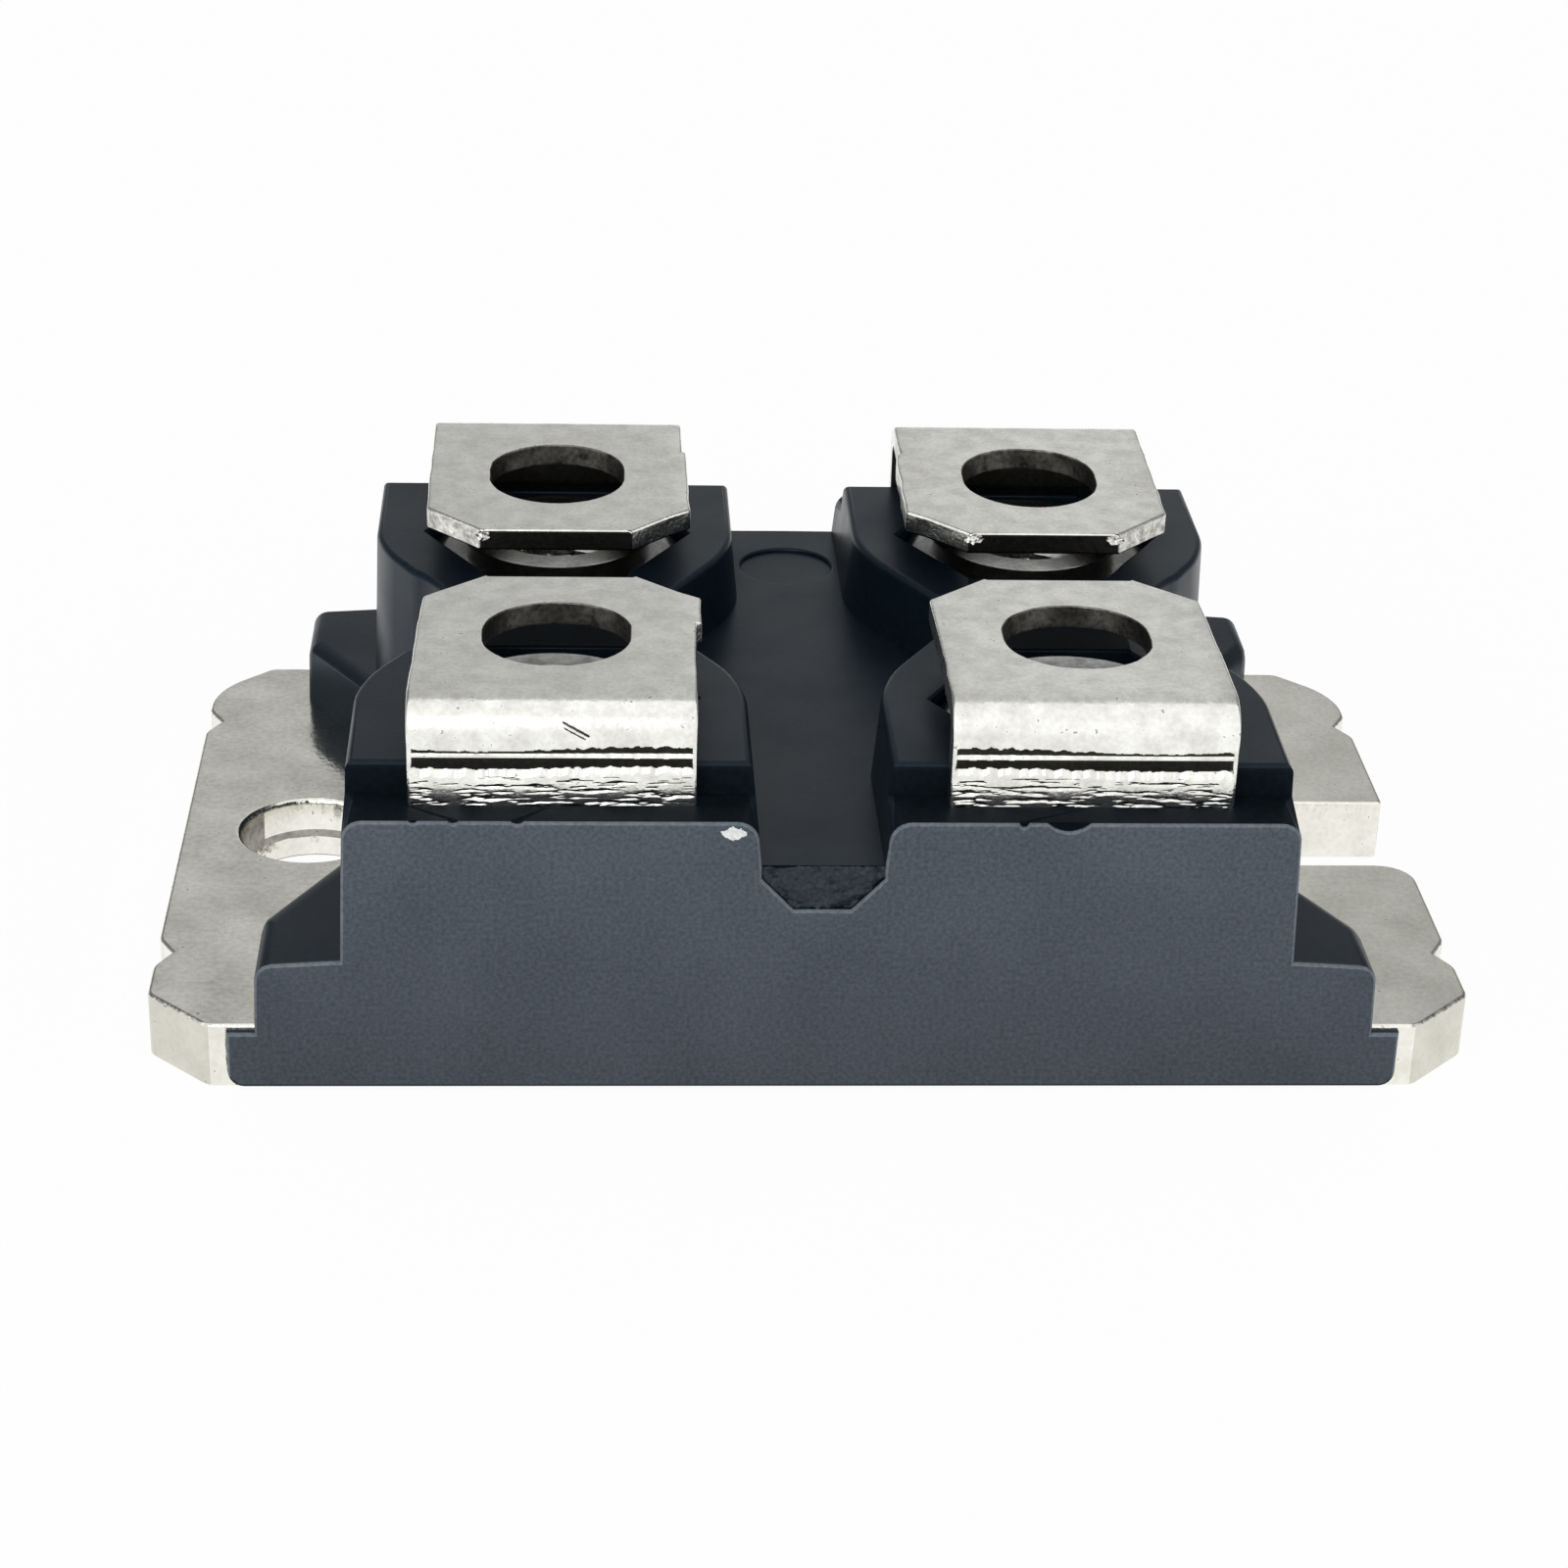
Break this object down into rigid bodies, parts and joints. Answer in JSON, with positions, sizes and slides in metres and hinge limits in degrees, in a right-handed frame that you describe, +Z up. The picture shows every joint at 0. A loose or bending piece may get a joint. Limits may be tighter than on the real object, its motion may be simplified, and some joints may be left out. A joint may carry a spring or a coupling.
{
  "type": "power transistor module",
  "caption": "Flat power transistor module: black moulded housing on a metal base plate, folded screw terminals over hexagon nuts, and a hole and an open slot for mounting.",
  "frame": {"origin": "middle of the base plate's underside, which is the bottom centre of the part", "axes": "+X from the mounting hole to the mounting slot, +Y from the front wall with the gate mark to the rear, +Z up from the base plate to the terminals"},
  "size_m": [0.0382, 0.0252, 0.0115],
  "materials": {
    "plate_nickel": "satin nickel plating on copper",
    "terminal_nickel": "satin nickel plating on copper sheet",
    "nut_steel": "plain nickel-plated steel",
    "housing_epoxy": "fine moulding grain",
    "copper": "bare copper",
    "ceramic": "unglazed white",
    "solder": "dull solder",
    "silicon": "polished grey silicon",
    "ribbon": "bright soft aluminium"
  },
  "bodies": {
    "root": {"base_plate": "plate_nickel", "plate_solder": "solder", "bottom_copper": "copper", "ceramic_substrate": "ceramic", "source_pad": "copper", "drain_pad": "copper", "gate_pad": "copper", "die_solder": "solder", "transistor_die": "silicon", "source_ribbons": "ribbon", "gate_ribbon": "ribbon", "foot_solder": "solder", "front_source_terminal": "terminal_nickel", "rear_source_terminal": "terminal_nickel", "drain_terminal": "terminal_nickel", "gate_terminal": "terminal_nickel", "terminal_nuts": "nut_steel", "moulded_housing": "housing_epoxy"}
  },
  "joints": []
}
